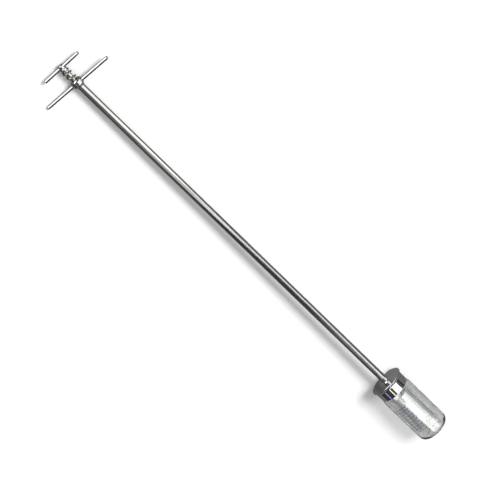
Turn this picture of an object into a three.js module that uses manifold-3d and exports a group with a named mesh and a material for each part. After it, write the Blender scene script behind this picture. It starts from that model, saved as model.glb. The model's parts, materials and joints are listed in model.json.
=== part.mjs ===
// A bottle sampler: a long rod that lets a closed glass bottle be filled below the surface of a liquid.
// A push rod runs through the outer tube. Pressing the small T bar against the spring opens a disc valve
// under the screw cap, and letting go closes it again. The bottle screws into the cap.
//
// Every piece is made along the rod's own axis: x runs from the handle towards the bottle, and x = 0 is the
// upper face of the cap. At the end of the file the whole sampler is laid down on the plane z = 0.
// Lengths are in millimetres.
import * as THREE from "three";
import { mergeVertices } from "three/addons/utils/BufferGeometryUtils.js";
import Module from "manifold-3d";

const wasm = await Module();
wasm.setup();

// --- Driving dimensions -----------------------------------------------------------------------------------

const GAP = 0.3; // clearance between pieces that touch
const WALL_TUBE = 1.5;

const TUBE_R = 7.5; // outer tube
const TUBE_TOP = -862;
const TUBE_END = 2.2;
const VENT_X = -842; // air leaves the tube through a small hole on its underside
const VENT_R = 1.5;

const ROD_R = 4; // push rod
const ROD_TOP = -899.7;
const ROD_SHOULDER = 2.5;
const STUD_R = 3;
const STUD_END = 16;

const BAR_R = 3.5; // both T bars are round bar of one size
const PUSH_BAR_X = -904;
const PUSH_BAR_LENGTH = 88;
const GRIP_X = -861;
const GRIP_SPAN = 160;
const BAR_END_R = 2.4; // rounding of the bar ends

const HUB_TOP = -910;
const HUB_R = 5.75;
const NECK_R = 7;
const NECK_TOP = -899.8;
const NECK_END = -894.8;
const PIN_X = -897.3;
const PIN_R = 1.2;

const SPRING_TOP = -892.7;
const SPRING_END = -869.3;
const SPRING_R = 9.3; // outside of the coils
const WIRE_R = 2;
const SPRING_TURNS = 2;
const SPRING_EASE = 0.5; // how far the end coils are flattened, 0 to 1

const SLEEVE_R = 5; // flanged sleeve that carries the top of the spring
const FLANGE_R = 8.6;
const SLEEVE_END = -872.8; // the collar's counterbore takes the sleeve over a stroke of 10

const COLLAR_TOP = -869;
const COLLAR_END = -853;
const COLLAR_R = 12.2;
const COLLAR_BAND = 3.6; // half height of the collar's cylindrical band
const GRIP_STUD_R = 3;
const GRUB_R = 2.5;

const CAP_R = 34.8; // cap
const SKIRT_R = 31.8;
const CAP_HEIGHT = 26;
const RIM_DEPTH = 1.6;
const TAPER_END = 6.2;
const PLATE_R = 33;
const PLATE_T = 2.5;
const PORT_R = 4;
const PORT_OFFSET = 14.2;
const PORT_TURN = THREE.MathUtils.degToRad(23); // from straight down, towards the left grip arm

const BOTTLE_R = 33.4; // bottle
const BOTTLE_END = 146.2;
const BOTTLE_WALL = 2.6;
const BASE_T = 4.5;
const BASE_CORNER = 13;
const RIM_X = 5.2;
const NECK_OUT_R = 28.6;
const NECK_IN_R = 25.6;
const SHOULDER_X = 26.6;
const SHOULDER_LENGTH = 5.5;

const THREAD_PITCH = 4; // bottle thread, right-hand
const THREAD_TURNS = 1.25;
const THREAD_X = 10.5; // start of the bottle's thread
const THREAD_CREST = 30.3;
const RING_ROOT = 30.8; // cap ring: bore at the thread roots, and its own crest
const RING_CREST = 29.2;
const RIDGE_BASE = 2; // width of a thread ridge at its foot and at its crest
const RIDGE_TIP = 1;

// --- Helpers ----------------------------------------------------------------------------------------------

const steel = { color: 0xb9bab8, roughness: 0.28, metalness: 1 };
const polished = { color: 0xc9cbcd, roughness: 0.08, metalness: 1 };
const ptfe = { color: 0xeeeeea, roughness: 0.6, metalness: 0 };
const silicone = { color: 0xb9b4ab, roughness: 0.7, metalness: 0 };
const glass = { color: 0xdfe9e8, roughness: 0.05, metalness: 0, transparent: true, opacity: 0.35 };

const sampler = new THREE.Group();

function add(name, geometry, look, parent = sampler) {
  const mesh = new THREE.Mesh(geometry, new THREE.MeshStandardMaterial(look));
  mesh.name = name;
  parent.add(mesh);
  return mesh;
}

// Points of an arc from angle a to angle b, in degrees, as [x, r] pairs.
function arc(x, r, radius, a, b, steps) {
  return Array.from({ length: steps + 1 }, (_, i) => {
    const t = THREE.MathUtils.degToRad(a + ((b - a) * i) / steps);
    return [x + radius * Math.cos(t), r + radius * Math.sin(t)];
  });
}

// Twice the area that an outline of [x, r] pairs encloses, with its sign.
function signedArea(outline) {
  return outline.reduce((sum, [x, r], i) => {
    const [nextX, nextR] = outline[(i + 1) % outline.length];
    return sum + x * nextR - nextX * r;
  }, 0);
}

// A turned piece about the x axis. The outline is a list of [x, r] pairs, in either direction. It starts and
// ends on the axis, or is closed here into a ring.
function turned(outline, segments = 24) {
  const points = signedArea(outline) > 0 ? [...outline].reverse() : [...outline];
  const onAxis = points[0][1] === 0 && points.at(-1)[1] === 0;
  if (!onAxis) points.push(points[0]);
  const profile = points.map(([x, r]) => new THREE.Vector2(r, x));
  return new THREE.LatheGeometry(profile, segments).rotateZ(-Math.PI / 2);
}

function ring(x0, x1, inner, outer, segments) {
  return turned([[x0, inner], [x0, outer], [x1, outer], [x1, inner]], segments);
}

function rod(x0, x1, radius, segments = 16) {
  return turned([[x0, 0], [x0, radius], [x1, radius], [x1, 0]], segments);
}

function solid(geometry) {
  const bare = geometry.index ? geometry.toNonIndexed() : geometry.clone();
  bare.deleteAttribute("normal");
  bare.deleteAttribute("uv");
  const merged = mergeVertices(bare, 1e-4);
  return new wasm.Manifold(
    new wasm.Mesh({
      numProp: 3,
      vertProperties: new Float32Array(merged.attributes.position.array),
      triVerts: new Uint32Array(merged.index.array),
    }),
  );
}

function geometryOf(manifold) {
  const { vertProperties, triVerts, numProp } = manifold.getMesh();
  const positions = new Float32Array(triVerts.length * 3);
  triVerts.forEach((v, i) => {
    positions.set(vertProperties.subarray(v * numProp, v * numProp + 3), i * 3);
  });
  const geometry = new THREE.BufferGeometry();
  geometry.setAttribute("position", new THREE.BufferAttribute(positions, 3));
  geometry.computeVertexNormals();
  return geometry;
}

function cut(geometry, ...tools) {
  return geometryOf(tools.reduce((body, tool) => body.subtract(solid(tool)), solid(geometry)));
}

function join(geometry, ...others) {
  return geometryOf(others.reduce((body, other) => body.add(solid(other)), solid(geometry)));
}

// A helix about the x axis. place(t) gives {x, r, turn} for t from 0 to 1, with turn in whole turns.
class Helix extends THREE.Curve {
  constructor(place) {
    super();
    this.place = place;
  }
  getPoint(t, target = new THREE.Vector3()) {
    const { x, r, turn } = this.place(t);
    const angle = 2 * Math.PI * turn;
    return target.set(x, r * Math.cos(angle), r * Math.sin(angle));
  }
  getPointAt(t, target) {
    return this.getPoint(t, target);
  }
  getTangentAt(t, target) {
    return this.getTangent(t, target);
  }
}

// A thread ridge of trapezoid section. It stands on radius foot and reaches radius crest, which is larger
// on an outside thread and smaller on an inside one.
function threadRidge(start, foot, crest, stepsPerTurn = 28) {
  const outward = Math.sign(crest - foot);
  const root = foot - outward * 0.6; // sunk into the wall, so that the join has no seam
  const halfWidths = [[0, RIDGE_BASE], [foot - root, RIDGE_BASE], [crest - root, RIDGE_TIP]];
  const flank = (side) => halfWidths.map(([height, width]) => new THREE.Vector2(-height, (side * width) / 2));
  const section = new THREE.Shape([...flank(-1), ...flank(1).reverse()]); // the extrusion's x points inwards
  const path = new Helix((t) => ({
    x: start + THREAD_PITCH * THREAD_TURNS * t,
    r: root,
    turn: THREAD_TURNS * t,
  }));
  return new THREE.ExtrudeGeometry(section, {
    steps: Math.round(stepsPerTurn * THREAD_TURNS),
    extrudePath: path,
  });
}

// --- Handle -----------------------------------------------------------------------------------------------

// A round bar along x from x0 to x1 whose ends are rounded where asked.
function bar(x0, x1, roundStart, segments = 20) {
  const inset = BAR_R - BAR_END_R;
  const start = roundStart
    ? [[x0, 0], ...arc(x0 + BAR_END_R, inset, BAR_END_R, 180, 90, 4)]
    : [[x0, 0], [x0, BAR_R]];
  return turned([...start, ...arc(x1 - BAR_END_R, inset, BAR_END_R, 90, 0, 4), [x1, 0]], segments);
}

// Turns a piece made along x so that it runs crosswise, along y, at the rod position x.
const across = (geometry, x) => geometry.rotateZ(Math.PI / 2).translate(x, 0, 0);

// The plunger turns freely, and lies with its bar level while the grip leans on one end.
const plunger = new THREE.Group();
sampler.add(plunger);

const pushBar = bar(-PUSH_BAR_LENGTH / 2, PUSH_BAR_LENGTH / 2, true);
add("push_bar", across(pushBar, PUSH_BAR_X), polished, plunger);

const DOME = 3.5; // height of the hub's domed top
const hubBlank = turned([
  [HUB_TOP, 0],
  ...arc(HUB_TOP + DOME, HUB_R - DOME, DOME, 180, 90, 4),
  [NECK_TOP - 1, HUB_R],
  [NECK_TOP, NECK_R],
  [NECK_END, NECK_R],
  [NECK_END, ROD_R + GAP],
  [ROD_TOP - GAP, ROD_R + GAP],
  [ROD_TOP - GAP, 0],
], 24);
add(
  "push_hub",
  cut(
    hubBlank,
    across(rod(-10, 10, BAR_R + GAP), PUSH_BAR_X),
    across(rod(-10, 10, PIN_R + GAP, 12), PIN_X),
  ),
  steel,
  plunger,
);
add("hub_pin", across(rod(-NECK_R + 0.1, NECK_R - 0.1, PIN_R, 12), PIN_X), steel, plunger);

add(
  "spring_sleeve",
  turned([
    [NECK_END + GAP, ROD_R + GAP],
    [NECK_END + GAP, FLANGE_R],
    [SPRING_TOP - GAP, FLANGE_R],
    [SPRING_TOP - GAP, SLEEVE_R],
    [SLEEVE_END, SLEEVE_R],
    [SLEEVE_END, ROD_R + GAP],
  ]),
  steel,
);

// The coils run from the sleeve's flange to the collar. The end coils are flatter than the middle ones.
const COIL_LENGTH = SPRING_END - SPRING_TOP - 2 * WIRE_R - 2 * GAP;
const COIL_PHASE = 0.25; // share of the coil at which the wire first crosses the +y side
const springPath = new Helix((t) => ({
  x: SPRING_TOP + WIRE_R + GAP + COIL_LENGTH * (t - (SPRING_EASE * Math.sin(2 * Math.PI * t)) / (2 * Math.PI)),
  r: SPRING_R - WIRE_R,
  turn: SPRING_TURNS * (COIL_PHASE - t),
}));
const wire = new THREE.Shape().absarc(0, 0, WIRE_R, 0, 2 * Math.PI);
add(
  "return_spring",
  new THREE.ExtrudeGeometry(wire, { steps: 48, curveSegments: 4, extrudePath: springPath }),
  steel,
);

const armHole = (side) => across(rod(TUBE_R, 20, GRIP_STUD_R + GAP), 0)
  .rotateX(side > 0 ? 0 : Math.PI)
  .translate(GRIP_X, 0, 0);
const collarBlank = turned([
  [COLLAR_TOP, SLEEVE_R + GAP],
  [COLLAR_TOP, COLLAR_R - 2.4],
  ...arc(GRIP_X - COLLAR_BAND, COLLAR_R - 4.4, 4.4, 150, 90, 3),
  [GRIP_X + COLLAR_BAND, COLLAR_R],
  [COLLAR_END, TUBE_R + 1.4],
  [COLLAR_END, TUBE_R + GAP],
  [TUBE_TOP - GAP, TUBE_R + GAP],
  [TUBE_TOP - GAP, SLEEVE_R + GAP],
], 32);
const grubHole = rod(TUBE_R, 20, GRUB_R + GAP).rotateY(Math.PI / 2).translate(GRIP_X, 0, 0);
add("grip_collar", cut(collarBlank, armHole(1), armHole(-1), grubHole), steel);

// A grub screw with a hexagon socket holds the collar on the tube, from below.
const socket = new THREE.CylinderGeometry(1.4, 1.4, 4, 6).rotateZ(-Math.PI / 2).translate(11.2, 0, 0);
add(
  "collar_screw",
  cut(rod(TUBE_R + 2 * GAP, 11.2, GRUB_R), socket).rotateY(Math.PI / 2).translate(GRIP_X, 0, 0),
  steel,
);

for (const [name, side] of [["grip_arm_right", 1], ["grip_arm_left", -1]]) {
  const arm = join(
    bar(COLLAR_R + GAP, GRIP_SPAN / 2, false),
    rod(TUBE_R + 2 * GAP, COLLAR_R + 4, GRIP_STUD_R),
  );
  add(name, across(arm, 0).rotateX(side > 0 ? 0 : Math.PI).translate(GRIP_X, 0, 0), polished);
}

// --- Tube and push rod ------------------------------------------------------------------------------------

const TUBE_BORE = TUBE_R - WALL_TUBE;
const ventHole = rod(0, 12, VENT_R, 12).rotateY(Math.PI / 2).translate(VENT_X, 0, 0);
add("outer_tube", cut(ring(TUBE_TOP, TUBE_END, TUBE_BORE, TUBE_R, 32), ventHole), steel);

add(
  "push_rod",
  cut(
    turned([
      [ROD_TOP, 0],
      [ROD_TOP, ROD_R],
      [ROD_SHOULDER, ROD_R],
      [ROD_SHOULDER, STUD_R],
      [STUD_END, STUD_R],
      [STUD_END, 0],
    ]),
    across(rod(-10, 10, PIN_R + GAP, 12), PIN_X),
  ),
  steel,
  plunger,
);

// Guides fill the space between the rod and the tube. Those that air must pass have slots along their outside.
const BUSH_R = TUBE_BORE - GAP;
const UPPER_BUSH = [TUBE_TOP + 3.2, TUBE_TOP + 15];
add("upper_bush", ring(...UPPER_BUSH, ROD_R + GAP, BUSH_R), ptfe);
add("rod_wiper", ring(TUBE_TOP + 0.4, TUBE_TOP + 2.9, ROD_R + 0.2, BUSH_R, 24), silicone);

function slottedBush(x0, x1) {
  const slots = [0, 1, 2].map((i) =>
    new THREE.BoxGeometry(x1 - x0 + 2, 2, 2)
      .translate((x0 + x1) / 2, BUSH_R, 0)
      .rotateX((2 * Math.PI * i) / 3),
  );
  return cut(ring(x0, x1, ROD_R + GAP, BUSH_R), ...slots);
}
add("middle_guide", slottedBush(-436, -424), ptfe);
add("lower_bush", slottedBush(-15, -1), ptfe);

// --- Cap and valve ----------------------------------------------------------------------------------------

// The inlet port is a hole in the plate beside the tube. The valve seal covers it and the end of the tube.
const WELD = 1.6; // fillet where the plate meets the tube
const plateBlank = turned([
  [PLATE_T, TUBE_R + GAP],
  [PLATE_T, PLATE_R],
  [0, PLATE_R],
  [0, TUBE_R + GAP + WELD],
  [-WELD, TUBE_R + 2 * GAP],
  [-WELD, TUBE_R + GAP],
], 48);
const port = rod(-5, 5, PORT_R, 20).translate(0, 0, -PORT_OFFSET).rotateX(-PORT_TURN);
add("cap_plate", cut(plateBlank, port), polished);

const RING_SEAT = PLATE_T + GAP; // the plate sits in a recess in the ring's top
const ringBlank = turned([
  [0, PLATE_R + GAP],
  [0, CAP_R - 0.4],
  [0.4, CAP_R],
  [RIM_DEPTH, CAP_R],
  [TAPER_END, SKIRT_R],
  [CAP_HEIGHT - 0.4, SKIRT_R],
  [CAP_HEIGHT, SKIRT_R - 0.4],
  [CAP_HEIGHT, RING_ROOT],
  [RIM_X + 1, RING_ROOT],
  [RIM_X, RING_ROOT - 1],
  [RING_SEAT, RING_ROOT - 1],
  [RING_SEAT, PLATE_R + GAP],
], 44);
const ringThread = threadRidge(THREAD_X + THREAD_PITCH / 2, RING_ROOT, RING_CREST);
add("cap_ring", join(ringBlank, ringThread), polished);

add("bottle_gasket", ring(PLATE_T + GAP, RIM_X - GAP, NECK_IN_R - 0.6, RING_CREST - 0.4, 40), silicone);

const SEAL_R = 19.7;
const SEAL = [PLATE_T + GAP, 5.8];
const VALVE_PLATE = [6.1, 8.1];
const WASHER = [8.4, 9.4];
const NUT = [9.7, 14.7];
const NUT_CORNER = 5.77; // half of a 10 mm nut across its corners
add("valve_seal", ring(...SEAL, STUD_R + GAP, SEAL_R, 36), silicone, plunger);
add("valve_plate", ring(...VALVE_PLATE, STUD_R + GAP, SEAL_R + 0.6, 36), steel, plunger);
add("valve_washer", ring(...WASHER, STUD_R + GAP, 5.8, 20), steel, plunger);
const nutBlank = rod(...NUT, NUT_CORNER, 6);
add("valve_nut", cut(nutBlank, rod(0, 20, STUD_R + GAP)), steel, plunger);

// --- Bottle -----------------------------------------------------------------------------------------------

const INNER_R = BOTTLE_R - BOTTLE_WALL;
const INNER_CORNER = BASE_CORNER - BOTTLE_WALL;
const shoulderEnd = SHOULDER_X + SHOULDER_LENGTH;
const bottleBlank = turned([
  [BOTTLE_END, 0],
  ...arc(BOTTLE_END - BASE_CORNER, BOTTLE_R - BASE_CORNER, BASE_CORNER, 0, 90, 5),
  ...arc(shoulderEnd, BOTTLE_R - SHOULDER_LENGTH + 1, SHOULDER_LENGTH - 1, 90, 170, 3),
  [SHOULDER_X + 0.4, NECK_OUT_R],
  [RIM_X + 0.8, NECK_OUT_R],
  [RIM_X, NECK_OUT_R - 0.8],
  [RIM_X, NECK_IN_R],
  [SHOULDER_X, NECK_IN_R],
  [shoulderEnd + 2, INNER_R],
  ...arc(BOTTLE_END - BASE_T - INNER_CORNER, INNER_R - INNER_CORNER, INNER_CORNER, 90, 0, 3),
  [BOTTLE_END - BASE_T, 0],
], 44);
const bottleThread = threadRidge(THREAD_X, NECK_OUT_R, THREAD_CREST);
add("bottle", join(bottleBlank, bottleThread), glass);

// --- Resting place ----------------------------------------------------------------------------------------

// The sampler lies on the rim of its cap and on the collar, and is rolled until one grip arm's end touches
// the surface. The axis leans down towards the handle, because the collar is the smaller of the two.
const REST_COLLAR_X = GRIP_X - COLLAR_BAND;
const lean = Math.atan((CAP_R - COLLAR_R) / (RIM_DEPTH / 4 - REST_COLLAR_X));
const roll = Math.asin((COLLAR_R - BAR_R) / (GRIP_SPAN / 2 - BAR_END_R));

sampler.rotation.set(roll, -lean, 0, "ZYX");
plunger.rotation.x = -roll;

const part = new THREE.Group();
part.add(sampler);
part.updateMatrixWorld(true);
const box = new THREE.Box3().setFromObject(part, true);
sampler.position.set(-(box.min.x + box.max.x) / 2, -(box.min.y + box.max.y) / 2, -box.min.z);

export default part;
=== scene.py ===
"""Looks of the bottle sampler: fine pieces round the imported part, a white floor and soft studio light.

Pieces are made along the rod: x runs from the handle to the bottle with 0 at the cap's upper face, y across
and z up. Lengths in the outlines are millimetres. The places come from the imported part.
"""

import json
from math import atan2, cos, degrees, hypot, pi, radians, sin, sqrt, tan

import bmesh
import bpy
import numpy as np
from mathutils import Matrix, Vector

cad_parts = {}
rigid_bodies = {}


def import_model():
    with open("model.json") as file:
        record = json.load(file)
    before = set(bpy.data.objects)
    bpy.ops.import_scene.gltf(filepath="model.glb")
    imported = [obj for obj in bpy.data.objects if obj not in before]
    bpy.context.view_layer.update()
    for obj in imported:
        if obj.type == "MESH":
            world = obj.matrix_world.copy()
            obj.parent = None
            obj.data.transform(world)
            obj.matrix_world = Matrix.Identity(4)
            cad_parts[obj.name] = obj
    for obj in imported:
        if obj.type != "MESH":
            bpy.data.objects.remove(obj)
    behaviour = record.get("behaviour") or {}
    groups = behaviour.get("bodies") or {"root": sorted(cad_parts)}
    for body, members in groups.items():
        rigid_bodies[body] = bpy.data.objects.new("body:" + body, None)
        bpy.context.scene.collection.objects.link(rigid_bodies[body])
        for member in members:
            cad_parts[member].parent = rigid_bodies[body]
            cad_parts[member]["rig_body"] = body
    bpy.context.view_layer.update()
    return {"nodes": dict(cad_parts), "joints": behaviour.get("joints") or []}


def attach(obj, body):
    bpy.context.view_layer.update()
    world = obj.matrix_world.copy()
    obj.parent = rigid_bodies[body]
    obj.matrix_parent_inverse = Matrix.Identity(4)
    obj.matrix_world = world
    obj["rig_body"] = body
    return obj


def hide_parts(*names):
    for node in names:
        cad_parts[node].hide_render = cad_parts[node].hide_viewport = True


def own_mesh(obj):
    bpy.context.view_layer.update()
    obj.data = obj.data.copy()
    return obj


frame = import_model()
MM = 0.001

# --- The rod's own frame ----------------------------------------------------------------------------------

JOINTS = {joint["name"]: joint for joint in frame["joints"]}
AXIS = Vector(JOINTS["bottle_turn"]["axis"]).normalized()
ACROSS = Vector((0, 1, 0))
UPWARD = AXIS.cross(ACROSS)
TURN = np.array([AXIS, ACROSS, UPWARD])


def points_of(node):
    """A CAD node's vertices, in metres."""
    mesh = frame["nodes"][node].data
    return np.array([v.co for v in mesh.vertices], float).reshape(-1, 3)


FOOT = Vector(JOINTS["bottle_turn"]["pos_m"])
FOOT += AXIS * float(((points_of("cap_ring") - np.array(FOOT)) @ np.array(AXIS)).min())
ROD = Matrix.Translation(FOOT) @ Matrix((AXIS, ACROSS, UPWARD)).transposed().to_4x4()


def along_rod(node):
    """A CAD node's vertices along the rod, in millimetres."""
    return (points_of(node) - np.array(FOOT)) @ TURN.T / MM


def extent(node):
    """(start, end, outer radius) of a turned CAD node, in millimetres along the rod."""
    co = along_rod(node)
    return co[:, 0].min(), co[:, 0].max(), np.hypot(co[:, 1], co[:, 2]).max()


def bar_extent(node):
    """(place along the rod, reach across it) of a T bar or arm."""
    co = along_rod(node)
    middle = (co[:, 0].min() + co[:, 0].max()) / 2
    return middle, np.hypot(co[:, 1], co[:, 2]).max()


# The grip's turn about the rod, from the outer part of one arm.
OUTER_PART = 60
arm_co = along_rod("grip_arm_right")
arm_tip = arm_co[np.hypot(arm_co[:, 1], arm_co[:, 2]) > OUTER_PART].mean(0)
ROLL = atan2(arm_tip[2], arm_tip[1])
ROLLED = ROD @ Matrix.Rotation(ROLL, 4, "X")

# --- Mesh helpers -----------------------------------------------------------------------------------------

# A radius this small is a point on the axis.
ON_AXIS = 1e-6
# Lines longer than this are supported, by points this far from their ends.
LONG_LINE = 3
SUPPORT = 0.3
# Clearance between fitted pieces.
GAP = 0.3


def new_object(name, vertices, faces, place=ROD, sharp=38):
    """A piece from vertices in millimetres, smooth except at edges of more than sharp degrees."""
    mesh = bpy.data.meshes.new(name)
    mesh.from_pydata([tuple(c * MM for c in v) for v in vertices], [], faces)
    mesh.validate()
    mesh.update()
    mesh.shade_smooth()
    mesh.set_sharp_from_angle(angle=radians(sharp))
    obj = bpy.data.objects.new(name, mesh)
    bpy.context.scene.collection.objects.link(obj)
    obj.matrix_world = place
    return obj


def corner(before, here, after, radius, steps):
    """Points of a fillet at the corner here of an outline."""
    u = (Vector(before) - Vector(here)).normalized()
    v = (Vector(after) - Vector(here)).normalized()
    half = u.angle(v) / 2
    reach = radius / tan(half)
    centre = Vector(here) + (u + v).normalized() * radius / sin(half)
    a = Vector(here) + u * reach - centre
    b = Vector(here) + v * reach - centre
    turn = a.angle(b)
    shares = [i / steps for i in range(steps + 1)]
    return [
        tuple(centre + (a * sin((1 - t) * turn) + b * sin(t * turn)) / sin(turn))
        for t in shares
    ]


def outline(*corners, steps=5):
    """A profile from (x, r) or (x, r, fillet) corners. It is closed, or starts and ends on the axis."""
    made = []
    for i, here in enumerate(corners):
        if len(here) == 2 or here[2] == 0:
            made.append((here[0], here[1]))
            continue
        before = corners[i - 1]
        after = corners[(i + 1) % len(corners)]
        made += corner(before[:2], here[:2], after[:2], here[2], steps)
    return made


def arc(x, r, radius, start, end, steps=8):
    """Points of an arc about (x, r), with angles in degrees from the x direction."""
    angles = [radians(start + (end - start) * i / steps) for i in range(steps + 1)]
    return [(x + radius * cos(a), r + radius * sin(a)) for a in angles]


def supported(points, closed):
    """Adds a point close to each end of the long straight lines, so that they are shaded straight."""
    made = []
    for here, after in zip(points, points[1:] + points[:1] if closed else points[1:]):
        made.append(here)
        length = hypot(after[0] - here[0], after[1] - here[1])
        if length > LONG_LINE and max(here[1], after[1]) > ON_AXIS:
            for share in (SUPPORT / length, 1 - SUPPORT / length):
                x = here[0] + (after[0] - here[0]) * share
                r = here[1] + (after[1] - here[1]) * share
                made.append((x, r))
    return made if closed else made + [points[-1]]


def turned(name, profile, segments=96, place=ROD, sharp=38):
    """A turned piece about the rod's axis."""
    doubled = sum(
        x * profile[(i + 1) % len(profile)][1] - profile[(i + 1) % len(profile)][0] * r
        for i, (x, r) in enumerate(profile)
    )
    points = list(reversed(profile)) if doubled > 0 else list(profile)
    closed = not (points[0][1] < ON_AXIS and points[-1][1] < ON_AXIS)
    points = supported(points, closed)
    vertices = []
    rings = []
    for x, r in points:
        if r < ON_AXIS:
            rings.append([len(vertices)] * segments)
            vertices.append((x, 0, 0))
            continue
        rings.append(list(range(len(vertices), len(vertices) + segments)))
        for k in range(segments):
            a = 2 * pi * k / segments
            vertices.append((x, r * cos(a), r * sin(a)))
    pairs = list(zip(rings, rings[1:] + rings[:1])) if closed else list(zip(rings, rings[1:]))
    faces = []
    for a, b in pairs:
        for k in range(segments):
            n = (k + 1) % segments
            face = [a[k], b[k], b[n], a[n]]
            face = [v for i, v in enumerate(face) if v not in face[:i]]
            if len(face) > 2:
                faces.append(face)
    return new_object(name, vertices, faces, place, sharp)


def sweep(name, path, section, place=ROD, sharp=50):
    """A closed tube along (x, radius, angle, scale) items, with a section of (across, outward) points."""
    vertices = []
    for x, radius, angle, scale in path:
        for across, outward in section:
            r = radius + outward * scale
            vertices.append((x + across * scale, r * cos(angle), r * sin(angle)))
    n = len(section)
    faces = []
    for i in range(len(path) - 1):
        for k in range(n):
            m = (k + 1) % n
            faces.append([i * n + k, i * n + m, (i + 1) * n + m, (i + 1) * n + k])
    faces.append(list(range(n))[::-1])
    faces.append([(len(path) - 1) * n + k for k in range(n)])
    obj = new_object(name, vertices, faces, place, sharp)
    outward_faces(obj)
    return obj


def outward_faces(obj):
    """Turns the faces outward if the solid is inside out."""
    bm = bmesh.new()
    bm.from_mesh(obj.data)
    bmesh.ops.recalc_face_normals(bm, faces=bm.faces)
    bm.to_mesh(obj.data)
    bm.free()


def combine(obj, others, operation, sharp=38):
    """Adds or cuts other solids, which are used up."""
    for other in others:
        modifier = obj.modifiers.new(other.name, "BOOLEAN")
        modifier.operation = operation
        modifier.solver = "EXACT"
        modifier.object = other
    bpy.context.view_layer.update()
    graph = bpy.context.evaluated_depsgraph_get()
    mesh = bpy.data.meshes.new_from_object(obj.evaluated_get(graph))
    obj.modifiers.clear()
    obj.data = mesh
    mesh.shade_smooth()
    mesh.set_sharp_from_angle(angle=radians(sharp))
    for other in others:
        bpy.data.objects.remove(other)
    return obj


def across_rod(x, place=ROD):
    """A place where a piece made along x runs across the rod, along y, at the rod position x."""
    return place @ Matrix.Translation((x * MM, 0, 0)) @ Matrix.Rotation(pi / 2, 4, "Z")


def drill(name, start, end, radius, segments, place):
    """A cylinder that cuts a hole."""
    return turned(name, outline((start, 0), (start, radius), (end, radius), (end, 0)), segments, place)


# --- Materials --------------------------------------------------------------------------------------------


def material(name):
    """A new material, with its nodes, its links and its shader."""
    made = bpy.data.materials.new(name)
    made.use_nodes = True
    nodes = made.node_tree.nodes
    return made, nodes, made.node_tree.links, nodes["Principled BSDF"]


def noise(nodes, links, stretch, detail=4, rough=0.55):
    """Noise in the piece's own coordinates, stretched by a scale per metre along x, y and z."""
    place = nodes.new("ShaderNodeTexCoord").outputs["Object"]
    mapping = nodes.new("ShaderNodeMapping")
    mapping.inputs["Scale"].default_value = stretch
    links.new(place, mapping.inputs["Vector"])
    texture = nodes.new("ShaderNodeTexNoise")
    texture.inputs["Scale"].default_value = 1
    texture.inputs["Detail"].default_value = detail
    texture.inputs["Roughness"].default_value = rough
    links.new(mapping.outputs["Vector"], texture.inputs["Vector"])
    return texture.outputs["Fac"]


def span(nodes, links, source, low, high, edges=(0.3, 0.7)):
    """Maps a noise value to the range low to high."""
    made = nodes.new("ShaderNodeMapRange")
    made.inputs["From Min"].default_value = edges[0]
    made.inputs["From Max"].default_value = edges[1]
    made.inputs["To Min"].default_value = low
    made.inputs["To Max"].default_value = high
    links.new(source, made.inputs["Value"])
    return made.outputs["Result"]


def maths(nodes, links, operation, a, b):
    """A sum or product of two sockets, or of a socket and a number."""
    made = nodes.new("ShaderNodeMath")
    made.operation = operation
    for socket, value in zip(made.inputs, (a, b)):
        if isinstance(value, (int, float)):
            socket.default_value = value
        else:
            links.new(value, socket)
    return made.outputs["Value"]


def blend_colours(nodes, links, source, dark, light, edges=(0.3, 0.7)):
    """Maps a noise value to a colour between dark and light."""
    ramp = nodes.new("ShaderNodeValToRGB")
    ramp.color_ramp.elements[0].position = edges[0]
    ramp.color_ramp.elements[0].color = (*dark, 1)
    ramp.color_ramp.elements[1].position = edges[1]
    ramp.color_ramp.elements[1].color = (*light, 1)
    links.new(source, ramp.inputs["Fac"])
    return ramp.outputs["Color"]


def raised(nodes, links, source, strength, distance):
    """A fine relief from a noise value, distance metres deep."""
    bump = nodes.new("ShaderNodeBump")
    bump.inputs["Strength"].default_value = strength
    bump.inputs["Distance"].default_value = distance
    links.new(source, bump.inputs["Height"])
    return bump.outputs["Normal"]


MARKS = (30, 90, 90)
LINES_SHARE = 0.45


def steel(name, dark, light, roughness, stretch, bump):
    """Stainless steel with fine lines from its last working and faint marks from handling."""
    made, nodes, links, shader = material(name)
    shader.inputs["Metallic"].default_value = 1
    lines = noise(nodes, links, stretch, 6, 0.7)
    smudges = noise(nodes, links, MARKS, 3)
    lines_part = maths(nodes, links, "MULTIPLY", lines, LINES_SHARE)
    smudges_part = maths(nodes, links, "MULTIPLY", smudges, 1 - LINES_SHARE)
    both = maths(nodes, links, "ADD", lines_part, smudges_part)
    links.new(blend_colours(nodes, links, both, dark, light), shader.inputs["Base Color"])
    links.new(span(nodes, links, both, *roughness), shader.inputs["Roughness"])
    links.new(raised(nodes, links, lines, bump, 0.00004), shader.inputs["Normal"])
    return made


def soft_plastic(name, dark, light, roughness, grain, bump):
    """PTFE or silicone: a faintly mottled colour and a fine skin."""
    made, nodes, links, shader = material(name)
    mottle = noise(nodes, links, (120, 120, 120), 4)
    skin = noise(nodes, links, (grain, grain, grain), 5)
    links.new(blend_colours(nodes, links, mottle, dark, light), shader.inputs["Base Color"])
    links.new(span(nodes, links, skin, *roughness), shader.inputs["Roughness"])
    links.new(raised(nodes, links, skin, bump, 0.00005), shader.inputs["Normal"])
    shader.inputs["Subsurface Weight"].default_value = 0.15
    shader.inputs["Subsurface Scale"].default_value = 0.002
    return made


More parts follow.
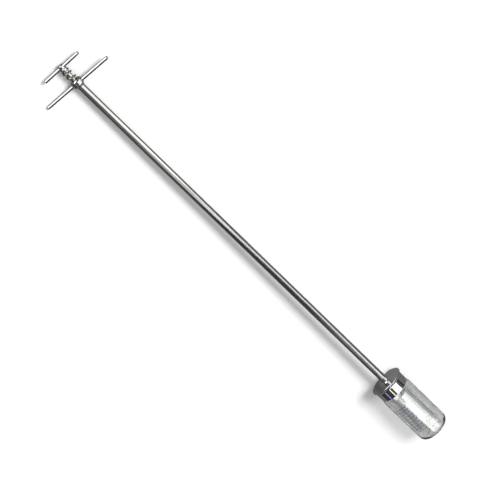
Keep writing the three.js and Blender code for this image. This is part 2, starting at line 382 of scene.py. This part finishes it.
def bottle_glass():
    """Moulded glass: clear, slightly grey, with slow waves left by the mould and a bright gloss.

    Lamps' rays pass the glass straight, dimmed at each surface, so that its shadow is soft and grey.
    """
    made, nodes, links, shader = material("bottle glass")
    shader.inputs["Transmission Weight"].default_value = 1
    shader.inputs["IOR"].default_value = 1.5
    shader.inputs["Coat Weight"].default_value = 0.8
    shader.inputs["Coat IOR"].default_value = 2.1
    shader.inputs["Coat Roughness"].default_value = 0.02
    tone = noise(nodes, links, (18, 26, 26), 2)
    links.new(
        blend_colours(nodes, links, tone, (0.955, 0.965, 0.962), (0.975, 0.982, 0.98)),
        shader.inputs["Base Color"],
    )
    waves = noise(nodes, links, (34, 60, 60), 2, 0.4)
    links.new(span(nodes, links, tone, 0.01, 0.035), shader.inputs["Roughness"])
    links.new(raised(nodes, links, waves, 0.35, 0.0012), shader.inputs["Normal"])
    path = nodes.new("ShaderNodeLightPath")
    clear = nodes.new("ShaderNodeBsdfTransparent")
    clear.inputs["Color"].default_value = (0.74, 0.74, 0.74, 1)
    mix = nodes.new("ShaderNodeMixShader")
    links.new(path.outputs["Is Shadow Ray"], mix.inputs["Fac"])
    links.new(shader.outputs["BSDF"], mix.inputs[1])
    links.new(clear.outputs["BSDF"], mix.inputs[2])
    links.new(mix.outputs["Shader"], nodes["Material Output"].inputs["Surface"])
    return made


def enamel():
    """The ink of the printed scale: blue-grey, a little worn."""
    made, nodes, links, shader = material("scale enamel")
    wear = noise(nodes, links, (420, 420, 420), 5, 0.65)
    links.new(
        blend_colours(nodes, links, wear, (0.07, 0.08, 0.13), (0.16, 0.17, 0.24), (0.35, 0.75)),
        shader.inputs["Base Color"],
    )
    links.new(span(nodes, links, wear, 0.32, 0.55), shader.inputs["Roughness"])
    links.new(raised(nodes, links, wear, 0.2, 0.00003), shader.inputs["Normal"])
    return made


# Looks: darkest and lightest colour, range of roughness, noise per metre along x, y and z, relief.
CROSS_LINES = (900, 30, 30)
TUBE_STEEL = steel(
    "tube steel", (0.50, 0.50, 0.485), (0.66, 0.66, 0.645), (0.08, 0.15), (7, 1500, 1500), 0.25
)
HANDLE_STEEL = steel(
    "handle steel", (0.52, 0.52, 0.51), (0.68, 0.68, 0.67), (0.08, 0.16), (1100, 40, 40), 0.22
)
# The cap face is a lighter copy of the cap's steel. This is painted light: it brightens the face's
# reflection of the floor.
BRIGHTENED_FACE_STEEL = steel(
    "cap face steel with painted brightness", (0.74, 0.74, 0.74), (0.86, 0.86, 0.86), (0.03, 0.08), CROSS_LINES, 0.05
)
CAP_STEEL = steel("cap steel", (0.56, 0.56, 0.56), (0.68, 0.68, 0.68), (0.03, 0.09), CROSS_LINES, 0.05)
# The spring's darker, olive colour is painted reflection and shade. It stands in for the olive-dark
# reflections and shading on the coil, not for the spring's own colour.
OLIVE_SHADED_SPRING_STEEL = steel(
    "spring steel with painted olive shade", (0.34, 0.335, 0.28), (0.52, 0.51, 0.44), (0.24, 0.4), (700, 700, 700), 0.2
)
FASTENER_STEEL = steel(
    "fastener steel", (0.44, 0.44, 0.43), (0.60, 0.60, 0.59), (0.2, 0.34), (800, 120, 120), 0.3
)
PTFE = soft_plastic("ptfe", (0.80, 0.80, 0.77), (0.90, 0.90, 0.88), (0.4, 0.55), 900, 0.2)
SILICONE = soft_plastic("silicone", (0.50, 0.48, 0.45), (0.60, 0.58, 0.55), (0.5, 0.7), 1500, 0.3)
GLASS = bottle_glass()
ENAMEL = enamel()


def finish_piece(obj, look, node):
    """Gives a fine piece its material and lets it stand for a CAD node, on that node's body."""
    obj.data.materials.clear()
    obj.data.materials.append(look)
    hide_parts(node)
    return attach(obj, frame["nodes"][node]["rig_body"])


# --- Handle -----------------------------------------------------------------------------------------------

bar_x, bar_reach = bar_extent("push_bar")
BAR_R = np.ptp(along_rod("push_bar")[:, 0]) / 2
BAR_ROUND = 2.4
push_bar = turned(
    "push_bar_fine",
    outline(
        (-bar_reach, 0),
        (-bar_reach, BAR_R, BAR_ROUND),
        (bar_reach, BAR_R, BAR_ROUND),
        (bar_reach, 0),
        steps=10,
    ),
    64,
    across_rod(bar_x),
)
finish_piece(push_bar, HANDLE_STEEL, "push_bar")

hub_top, hub_end, neck_r = extent("push_hub")
rod_top, rod_end, rod_r = extent("push_rod")
HUB_R = 5.75
HUB_NECK = 5
hub = turned(
    "push_hub_fine",
    outline(
        (hub_top, 0),
        (hub_top, HUB_R, 3.5),
        (hub_end - HUB_NECK - 1, HUB_R, 0.8),
        (hub_end - HUB_NECK, neck_r, 0.4),
        (hub_end, neck_r, 0.4),
        (hub_end, rod_r + GAP),
        (rod_top - GAP, rod_r + GAP),
        (rod_top - GAP, 0),
        steps=8,
    ),
    96,
)
pin_x, pin_reach = bar_extent("hub_pin")
PIN_R = 1.2

bores = [
    drill("bore", -10, 10, BAR_R + GAP / 2, 64, across_rod(bar_x)),
    drill("pin_bore", -10, 10, PIN_R + GAP / 2, 32, across_rod(pin_x)),
]
combine(hub, bores, "DIFFERENCE")
finish_piece(hub, HANDLE_STEEL, "push_hub")

pin = turned(
    "hub_pin_fine",
    outline((-pin_reach, 0), (-pin_reach, PIN_R, 0.3), (pin_reach, PIN_R, 0.3), (pin_reach, 0)),
    32,
    across_rod(pin_x),
)
finish_piece(pin, FASTENER_STEEL, "hub_pin")

sleeve_top, sleeve_end, flange_r = extent("spring_sleeve")
spring_top, spring_end, coil_r = extent("return_spring")
SLEEVE_R = 5
FLANGE = 1.5
sleeve = turned(
    "spring_sleeve_fine",
    outline(
        (sleeve_top, rod_r + GAP),
        (sleeve_top, flange_r, 0.35),
        (sleeve_top + FLANGE, flange_r, 0.35),
        (sleeve_top + FLANGE, SLEEVE_R, 0.3),
        (sleeve_end, SLEEVE_R, 0.4),
        (sleeve_end, rod_r + GAP),
    ),
    96,
)
finish_piece(sleeve, HANDLE_STEEL, "spring_sleeve")

WIRE_R = 2
WIRE_SIDES = 20
SPRING_TURNS = 2
SPRING_EASE = 0.5
COIL_PHASE = 0.25
SPRING_STEPS = 240
CUT_ROUND = 0.5
CUT_SCALE = 0.8


def coil(t):
    """A point of the spring's centre line, with the wire drawn in at its two cut ends."""
    x0 = spring_top + WIRE_R
    length = spring_end - spring_top - 2 * WIRE_R
    x = x0 + length * (t - SPRING_EASE * sin(2 * pi * t) / (2 * pi))
    near_end = min(t, 1 - t) * SPRING_TURNS * 2 * pi * coil_r
    share = min(1, max(0, near_end / CUT_ROUND))
    scale = CUT_SCALE + (1 - CUT_SCALE) * sqrt(share)
    return x, coil_r - WIRE_R, 2 * pi * SPRING_TURNS * (COIL_PHASE - t), scale


ends = [0, 0.002, 0.005]
steps = list(ends)
steps += [ends[-1] + (1 - 2 * ends[-1]) * i / SPRING_STEPS for i in range(1, SPRING_STEPS)]
steps += [1 - e for e in ends[::-1]]
angles = [2 * pi * k / WIRE_SIDES for k in range(WIRE_SIDES)]
wire = [(WIRE_R * cos(a), WIRE_R * sin(a)) for a in angles]
spring = sweep("return_spring_fine", [coil(t) for t in steps], wire)
finish_piece(spring, OLIVE_SHADED_SPRING_STEEL, "return_spring")
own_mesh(spring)

collar_top, collar_end, collar_r = extent("grip_collar")
grip_x, grip_reach = bar_extent("grip_arm_right")
tube_top, tube_end, tube_r = extent("outer_tube")
BAND = 3.6
THREADED_R = 3
collar = turned(
    "grip_collar_fine",
    outline(
        (collar_top, SLEEVE_R + GAP, 0.3),
        (collar_top, collar_r - 2.4, 0.5),
        (grip_x - BAND - 2.6, collar_r - 0.35, 2.5),
        (grip_x - BAND, collar_r, 4),
        (grip_x + BAND, collar_r, 2.2),
        (collar_end, tube_r + 1.4, 0.5),
        (collar_end, tube_r + GAP),
        (tube_top - GAP, tube_r + GAP),
        (tube_top - GAP, SLEEVE_R + GAP),
        steps=6,
    ),
    128,
    ROLLED,
)
GRUB_R = 2.5
down = ROLLED @ Matrix.Translation((grip_x * MM, 0, 0)) @ Matrix.Rotation(pi / 2, 4, "Y")
sockets = [
    drill("socket", tube_r, 20, radius, 48, place)
    for radius, place in (
        (THREADED_R + GAP, across_rod(grip_x, ROLLED)),
        (THREADED_R + GAP, across_rod(grip_x, ROLLED) @ Matrix.Rotation(pi, 4, "Z")),
        (GRUB_R + 0.2, down),
    )
]
combine(collar, sockets, "DIFFERENCE")
finish_piece(collar, HANDLE_STEEL, "grip_collar")

for side, turn in (("right", 0), ("left", pi)):
    node = "grip_arm_" + side
    arm = turned(
        node + "_fine",
        outline(
            (tube_r + 2 * GAP, 0),
            (tube_r + 2 * GAP, THREADED_R, 0.4),
            (collar_r + GAP, THREADED_R),
            (collar_r + GAP, BAR_R, 0.35),
            (grip_reach, BAR_R, BAR_ROUND),
            (grip_reach, 0),
            steps=10,
        ),
        64,
        across_rod(grip_x, ROLLED) @ Matrix.Rotation(turn, 4, "Z"),
    )
    finish_piece(arm, HANDLE_STEEL, node)

# --- Tube and push rod ------------------------------------------------------------------------------------

TUBE_WALL = 1.5
VENT_X = -842
VENT_R = 1.5
VENT_MOUTH = 2.1
tube = turned(
    "outer_tube_fine",
    outline(
        (tube_top, tube_r - TUBE_WALL, 0.2),
        (tube_top, tube_r, 0.5),
        (tube_end, tube_r, 0.2),
        (tube_end, tube_r - TUBE_WALL, 0.2),
        steps=4,
    ),
    96,
    ROLLED,
)
vent = turned(
    "vent",
    outline(
        (0, 0),
        (0, VENT_R),
        (tube_r - GAP, VENT_R),
        (tube_r + GAP, VENT_MOUTH),
        (12, VENT_MOUTH),
        (12, 0),
    ),
    32,
    ROLLED @ Matrix.Translation((VENT_X * MM, 0, 0)) @ Matrix.Rotation(pi / 2, 4, "Y"),
)
combine(tube, [vent], "DIFFERENCE", 30)
finish_piece(tube, TUBE_STEEL, "outer_tube")

STUD_R = 3
STUD_LENGTH = 13.5
STUD_PITCH = 0.7
STUD_GROOVES = 12
STUD_PLAIN = 4.5
stud_start = rod_end - STUD_LENGTH
grooves = []
for k in range(STUD_GROOVES):
    x = stud_start + STUD_PLAIN + k * STUD_PITCH
    grooves += [(x, STUD_R), (x + STUD_PITCH / 2, STUD_R - 0.3)]
push_rod = turned(
    "push_rod_fine",
    [(rod_top, 0), (rod_top, rod_r - 0.4), (rod_top + 0.4, rod_r), (stud_start - 0.3, rod_r)]
    + [(stud_start, rod_r - 0.3), (stud_start, STUD_R)]
    + grooves
    + [(rod_end - 0.4, STUD_R), (rod_end, STUD_R - 0.4), (rod_end, 0)],
    48,
)
finish_piece(push_rod, HANDLE_STEEL, "push_rod")

# --- Cap and valve ----------------------------------------------------------------------------------------

_, ring_end, cap_r = extent("cap_ring")
_, plate_end, plate_r = extent("cap_plate")
SKIRT_R = 31.8
RING_ROOT = 30.8
RING_CREST = 29.2
WELD = 1.6
weld = [
    (-WELD * cos(radians(a)), tube_r + 0.6 + WELD * 1.1 * (1 - cos(radians(a))))
    for a in range(0, 91, 15)
]
plate = turned(
    "cap_plate_fine",
    [(-WELD, tube_r + 0.2)] + weld + [(0, plate_r - 0.3), (0.3, plate_r), (plate_end, plate_r)]
    + [(plate_end, tube_r + 0.2)],
    160,
    ROLLED,
    30,
)
PORT_R = 4
PORT_OFFSET = 14.2
PORT_TURN = radians(113)
port = turned(
    "port",
    outline(
        (-3, 0),
        (-3, PORT_R + 0.4),
        (0, PORT_R + 0.4),
        (0.5, PORT_R),
        (plate_end - 0.4, PORT_R),
        (plate_end, PORT_R + 0.3),
        (6, PORT_R + 0.3),
        (6, 0),
    ),
    64,
    ROLLED @ Matrix.Translation((0, PORT_OFFSET * MM * cos(PORT_TURN), -PORT_OFFSET * MM * sin(PORT_TURN))),
)
combine(plate, [port], "DIFFERENCE", 30)
finish_piece(plate, BRIGHTENED_FACE_STEEL, "cap_plate")

RIM = 1.9
SKIRT_START = 6.2
ring = turned(
    "cap_ring_fine",
    outline(
        (0, plate_r + GAP / 2, 0.3),
        (0, cap_r, 0.9),
        (RIM, cap_r, 0.8),
        (SKIRT_START, SKIRT_R, 2.5),
        (ring_end, SKIRT_R, 0.35),
        (ring_end, RING_ROOT, 0.2),
        (SKIRT_START, RING_ROOT),
        (SKIRT_START - 1, RING_ROOT - 1),
        (plate_end + GAP, RING_ROOT - 1),
        (plate_end + GAP, plate_r + GAP / 2),
        steps=5,
    ),
    160,
    ROLLED,
    30,
)

THREAD_PITCH = 4
THREAD_TURNS = 1.25
RING_THREAD_X = 12.5
BOTTLE_THREAD_X = 10.5
THREAD_STEPS = 120
THREAD_ROOT = 0.5
THREAD_HALF = 1
THREAD_FADE = 16


def thread(name, start, foot, crest, place):
    """A rounded thread ridge on radius foot that fades in and out at its ends."""
    height = crest - foot
    root = -THREAD_ROOT * np.sign(height)
    half = [
        (THREAD_HALF * 1.1, root),
        (THREAD_HALF, 0),
        (THREAD_HALF * 0.45, 0.92 * height),
    ]
    section = [(-across, outward) for across, outward in half] + [(0, height)] + half[::-1]
    path = []
    for i in range(THREAD_STEPS + 1):
        t = i / THREAD_STEPS
        fade = min(1, t * THREAD_FADE, (1 - t) * THREAD_FADE)
        x = start + THREAD_PITCH * THREAD_TURNS * t
        path.append((x, foot, 2 * pi * THREAD_TURNS * t, 0.35 + 0.65 * sin(fade * pi / 2)))
    return sweep(name, path, section, place, 60)


combine(ring, [thread("ring_thread", RING_THREAD_X, RING_ROOT, RING_CREST, ROLLED)], "UNION", 30)
finish_piece(ring, CAP_STEEL, "cap_ring")

GASKET_IN = 25
for node, look, fillet, inner in (
    ("bottle_gasket", SILICONE, 0.3, GASKET_IN),
    ("valve_seal", SILICONE, 0.5, STUD_R + GAP),
    ("valve_plate", FASTENER_STEEL, 0.4, STUD_R + GAP),
    ("valve_washer", FASTENER_STEEL, 0.2, STUD_R + GAP),
):
    start, end, outer = extent(node)
    disc = turned(
        node + "_fine",
        outline((start, inner, 0.1), (start, outer, fillet), (end, outer, fillet), (end, inner, 0.1)),
        96,
    )
    finish_piece(disc, look, node)

nut_start, nut_end, nut_corner = extent("valve_nut")
nut_in = STUD_R + 0.1
nut = turned(
    "valve_nut_fine",
    outline((nut_start, nut_in), (nut_start, nut_corner), (nut_end, nut_corner), (nut_end, nut_in)),
    6,
)
crown = turned(
    "crown",
    outline(
        (nut_start, 0),
        (nut_start, nut_corner - 0.9),
        (nut_start + 0.5, nut_corner + 0.05),
        (nut_end - 0.5, nut_corner + 0.05),
        (nut_end, nut_corner - 0.9),
        (nut_end, 0),
    ),
    72,
)
combine(nut, [crown], "INTERSECT", 25)
finish_piece(nut, FASTENER_STEEL, "valve_nut")

# --- Bottle -----------------------------------------------------------------------------------------------

rim_x, bottle_end, bottle_r = extent("bottle")
WALL = 2.6
BASE = 4.5
CORNER = 13
NECK_OUT = 28.6
NECK_CREST = 30.3
NECK_IN = 25.6
SHOULDER = 26.6
PUSH_UP = 1.6
MIDDLE = 60
inner_r = bottle_r - WALL
base_in = bottle_end - BASE
bottle_profile = (
    [(bottle_end - PUSH_UP, 0), (bottle_end - PUSH_UP, 7), (bottle_end - PUSH_UP * 0.7, 13)]
    + [(bottle_end - 0.25, 18.0)]
    + arc(bottle_end - CORNER, bottle_r - CORNER, CORNER, 2, 90, 14)
    + outline(
        (MIDDLE, bottle_r),
        (SHOULDER + 5.2, bottle_r, 4.4),
        (SHOULDER, NECK_OUT + 2.1, 1.2),
        (SHOULDER - 0.6, NECK_OUT, 0.5),
        (rim_x, NECK_OUT, 0.9),
        (rim_x, NECK_IN, 0.9),
        (SHOULDER - 1, NECK_IN, 3),
        (SHOULDER + 8, inner_r, 5),
        (MIDDLE, inner_r),
        steps=7,
    )[1:-1]
    + arc(base_in - CORNER + WALL, inner_r - CORNER + WALL, CORNER - WALL, 90, 4, 12)
    + [(base_in - 0.6, 12), (base_in - PUSH_UP * 0.8, 6), (base_in - PUSH_UP * 0.9, 0)]
)
bottle = turned("bottle_fine", bottle_profile, 160, sharp=60)
combine(bottle, [thread("bottle_thread", BOTTLE_THREAD_X, NECK_OUT, NECK_CREST, ROD)], "UNION", 60)
finish_piece(bottle, GLASS, "bottle")

# --- The printed scale ------------------------------------------------------------------------------------


def on_bottle(x, turn, lift):
    """A point on the bottle, turn degrees from the top towards +y, in millimetres."""
    a = radians(turn)
    return (x, (bottle_r + lift) * sin(a), (bottle_r + lift) * cos(a))


INK_UNDER = 0.04
INK_TOP = 0.12


def ink_patch(vertices, faces, x0, x1, turn0, turn1):
    """Adds a thin curved block of ink."""
    steps = max(1, round(abs(turn1 - turn0) / 3))
    base = len(vertices)
    for i in range(steps + 1):
        turn = turn0 + (turn1 - turn0) * i / steps
        for x, lift in ((x0, INK_UNDER), (x1, INK_UNDER), (x1, INK_TOP), (x0, INK_TOP)):
            vertices.append(on_bottle(x, turn, lift))
    for i in range(steps):
        for k in range(4):
            m = (k + 1) % 4
            a = base + 4 * i
            faces.append([a + k, a + m, a + 4 + m, a + 4 + k])
    faces.append([base + k for k in range(4)][::-1])
    faces.append([base + 4 * steps + k for k in range(4)])


def ink_number(vertices, faces, text, x, turn, height):
    """Adds a number, read with the bottle's base down, as thin curved ink."""
    font = bpy.data.curves.new("number", "FONT")
    font.body = text
    font.size = height
    font.align_x = "CENTER"
    font.extrude = 0.5
    font.resolution_u = 2
    font.offset = 0.22
    holder = bpy.data.objects.new("number", font)
    bpy.context.scene.collection.objects.link(holder)
    bpy.context.view_layer.update()
    mesh = bpy.data.meshes.new_from_object(holder.evaluated_get(bpy.context.evaluated_depsgraph_get()))
    base = len(vertices)
    for v in mesh.vertices:
        lift = INK_TOP if v.co.z > 0 else INK_UNDER
        vertices.append(on_bottle(x - v.co.y, turn + degrees(v.co.x / bottle_r), lift))
    faces += [[base + i for i in face.vertices] for face in mesh.polygons]
    bpy.data.objects.remove(holder)
    bpy.data.meshes.remove(mesh)


SCALE_END = 117
SCALE_TURN = (-42, 0)
SCALE_STEP = 7
SCALE_LINES = 9
VOLUME_STEP = 25
LONG_TICK = (1.1, 10)
SHORT_TICK = (0.3, 6)
vertices = []
faces = []
middle = sum(SCALE_TURN) / 2
for i in range(SCALE_LINES):
    x = SCALE_END - SCALE_STEP * (i + 1)
    for tick_x, (half, reach) in ((x, LONG_TICK), (x + SCALE_STEP / 2, SHORT_TICK)):
        ink_patch(vertices, faces, tick_x - half, tick_x + half, SCALE_TURN[0], SCALE_TURN[0] + reach)
        ink_patch(vertices, faces, tick_x - half, tick_x + half, SCALE_TURN[1] - reach, SCALE_TURN[1])
    ink_number(vertices, faces, str(VOLUME_STEP * (i + 1)), x + 2.2, middle, 6.2)
ink_patch(vertices, faces, SCALE_END - 0.4, SCALE_END + 0.4, *SCALE_TURN)
scale = new_object("bottle_scale", vertices, faces)
outward_faces(scale)
scale.data.materials.append(ENAMEL)
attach(scale, frame["nodes"]["bottle"]["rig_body"])

# --- Pieces kept from the CAD part ------------------------------------------------------------------------

KEPT = {
    "upper_bush": PTFE,
    "middle_guide": PTFE,
    "lower_bush": PTFE,
    "rod_wiper": SILICONE,
    "collar_screw": FASTENER_STEEL,
}
for node, look in KEPT.items():
    kept = frame["nodes"][node]
    kept.data.materials.clear()
    kept.data.materials.append(look)

# --- Floor, light and camera ------------------------------------------------------------------------------

# How light the floor's paper is for rays that leave metal, and for rays through glass.
SEEN_BY_METAL = 0.16
SEEN_BY_GLASS = 0.5
FLOOR_R = 60


def floor_material():
    """White paper. Metal and glass see it darker than the eye does, as under a studio's dark ceiling."""
    made, nodes, links, shader = material("floor paper")
    clouds = noise(nodes, links, (0.8, 0.8, 0.8), 3)
    paper = blend_colours(nodes, links, clouds, (0.84, 0.84, 0.84), (0.86, 0.86, 0.86))
    path = nodes.new("ShaderNodeLightPath")
    for rays, tone in (("Is Glossy Ray", SEEN_BY_METAL), ("Is Transmission Ray", SEEN_BY_GLASS)):
        dim = nodes.new("ShaderNodeMix")
        dim.data_type = "RGBA"
        dim.inputs["B"].default_value = (tone, tone, tone * 0.98, 1)
        links.new(path.outputs[rays], dim.inputs["Factor"])
        links.new(paper, dim.inputs["A"])
        paper = dim.outputs["Result"]
    links.new(paper, shader.inputs["Base Color"])
    shader.inputs["Roughness"].default_value = 0.9
    shader.inputs["Specular IOR Level"].default_value = 0.1
    return made


bpy.ops.mesh.primitive_circle_add(vertices=96, radius=FLOOR_R, fill_type="NGON")
floor = bpy.context.object
floor.name = "floor"
floor.data.materials.append(floor_material())


def place_lamp(name, lamp, direction, distance, aim=(0, 0, 0)):
    """Puts a lamp at a distance from aim in a direction, facing aim, with its long side along x."""
    obj = bpy.data.objects.new(name, lamp)
    away = Vector(direction).normalized()
    long_side = (Vector((1, 0, 0)) - away * away.x).normalized()
    turn = Matrix((long_side, away.cross(long_side), away)).transposed().to_4x4()
    obj.matrix_world = Matrix.Translation(Vector(aim) + away * distance) @ turn
    bpy.context.scene.collection.objects.link(obj)
    return obj


def sun(name, tilt, lean, strength, angle):
    """Even light from tilt degrees towards +y and lean degrees towards -x, that gloss doesn't show."""
    lamp = bpy.data.lights.new(name, "SUN")
    lamp.energy = strength
    lamp.angle = radians(angle)
    direction = (-tan(radians(lean)), tan(radians(tilt)), 1)
    obj = place_lamp(name, lamp, direction, 5)
    obj.visible_glossy = False
    obj.visible_transmission = False


BOX_DISTANCE = 2.2


def panel(name, near, far, start, end, radiance, colour=(1, 1, 1)):
    """A softbox that only gloss shows: from near to far degrees towards +y, from start to end along x."""
    lamp = bpy.data.lights.new(name, "AREA")
    lamp.shape = "RECTANGLE"
    lamp.size = end - start
    half = radians(far - near) / 2
    lamp.size_y = 2 * BOX_DISTANCE * tan(half)
    lamp.energy = radiance * pi * lamp.size * lamp.size_y
    lamp.color = colour
    tilt = radians(near + far) / 2
    obj = place_lamp(name, lamp, (0, sin(tilt), cos(tilt)), BOX_DISTANCE, ((start + end) / 2, 0, 0))
    obj.visible_diffuse = False


# Suns light the floor. Panels draw the stripes on metal and glass: the rod sees the panel at a place x
# that lies about two thirds of a metre further along x than the rod's own point.
sun("key", 43, 4, 3.3, 24)
sun("fill", 0, 0, 1.6, 150)
panel("box_handle", 16, 88, -0.6, 0.40, 1.6)
panel("box_upper", -14, 84, 0.42, 0.62, 1.35)
panel("glow_handle", -48, -6, -0.6, 0.42, 0.16, (1, 0.95, 0.9))
panel("glow_lower", -48, 10, 0.92, 1.1, 0.2)
panel("box_middle", 32, 72, 0.62, 0.94, 1.15)
panel("box_lower", 16, 72, 0.94, 1.11, 1.0)
panel("box_bottle", 10, 56, 1.12, 2.8, 2.4)
panel("box_bottle_side", 56, 72, 1.2, 2.8, 0.8)
panel("box_bottle_edge", -8, 10, 1.17, 2.8, 2.6)
panel("slit", -13, -8, 1.10, 1.165, 2.6, (1, 0.98, 0.75))
panel("slit_blue", -53, -46, 1.12, 1.165, 1.7, (0.45, 0.38, 1))

HANDLE = (-0.52, 0, 0)
box_end = bpy.data.lights.new("box_end", "AREA")
box_end.shape = "RECTANGLE"
box_end.size = 3.7
box_end.size_y = 1.8
box_end.energy = 2.4 * pi * box_end.size * box_end.size_y
place_lamp("box_end", box_end, (-0.78, -0.25, 0.58), BOX_DISTANCE, HANDLE).visible_diffuse = False

world = bpy.data.worlds.new("room")
bpy.context.scene.world = world
world.use_nodes = True
nodes = world.node_tree.nodes
links = world.node_tree.links
eye = nodes.new("ShaderNodeLightPath").outputs["Is Camera Ray"]
room = blend_colours(nodes, links, eye, (0.05, 0.05, 0.052), (0.92, 0.92, 0.92), (0, 1))
links.new(room, nodes["Background"].inputs["Color"])

lens = bpy.data.cameras.new("camera")
lens.sensor_width = 36
lens.lens = 252
camera = bpy.data.objects.new("camera", lens)
bpy.context.scene.collection.objects.link(camera)
AZIMUTH = radians(231.24)
ELEVATION = radians(66.06)
CAMERA_ROLL = radians(174.92)
DISTANCE = 6.756
AIM = Vector((-0.0033, -0.0018, 0.02))
back = Vector((cos(ELEVATION) * sin(AZIMUTH), -cos(ELEVATION) * cos(AZIMUTH), sin(ELEVATION)))
right = (-back).cross(Vector((0, 0, 1))).normalized()
up = right.cross(-back)
side = right * cos(CAMERA_ROLL) + up * sin(CAMERA_ROLL)
top = up * cos(CAMERA_ROLL) - right * sin(CAMERA_ROLL)
turn = Matrix((side, top, back)).transposed().to_4x4()
camera.matrix_world = Matrix.Translation(AIM + back * DISTANCE) @ turn
lens.clip_end = 200
bpy.context.scene.camera = camera
bpy.context.scene.view_settings.view_transform = "Standard"

bpy.context.view_layer.update()
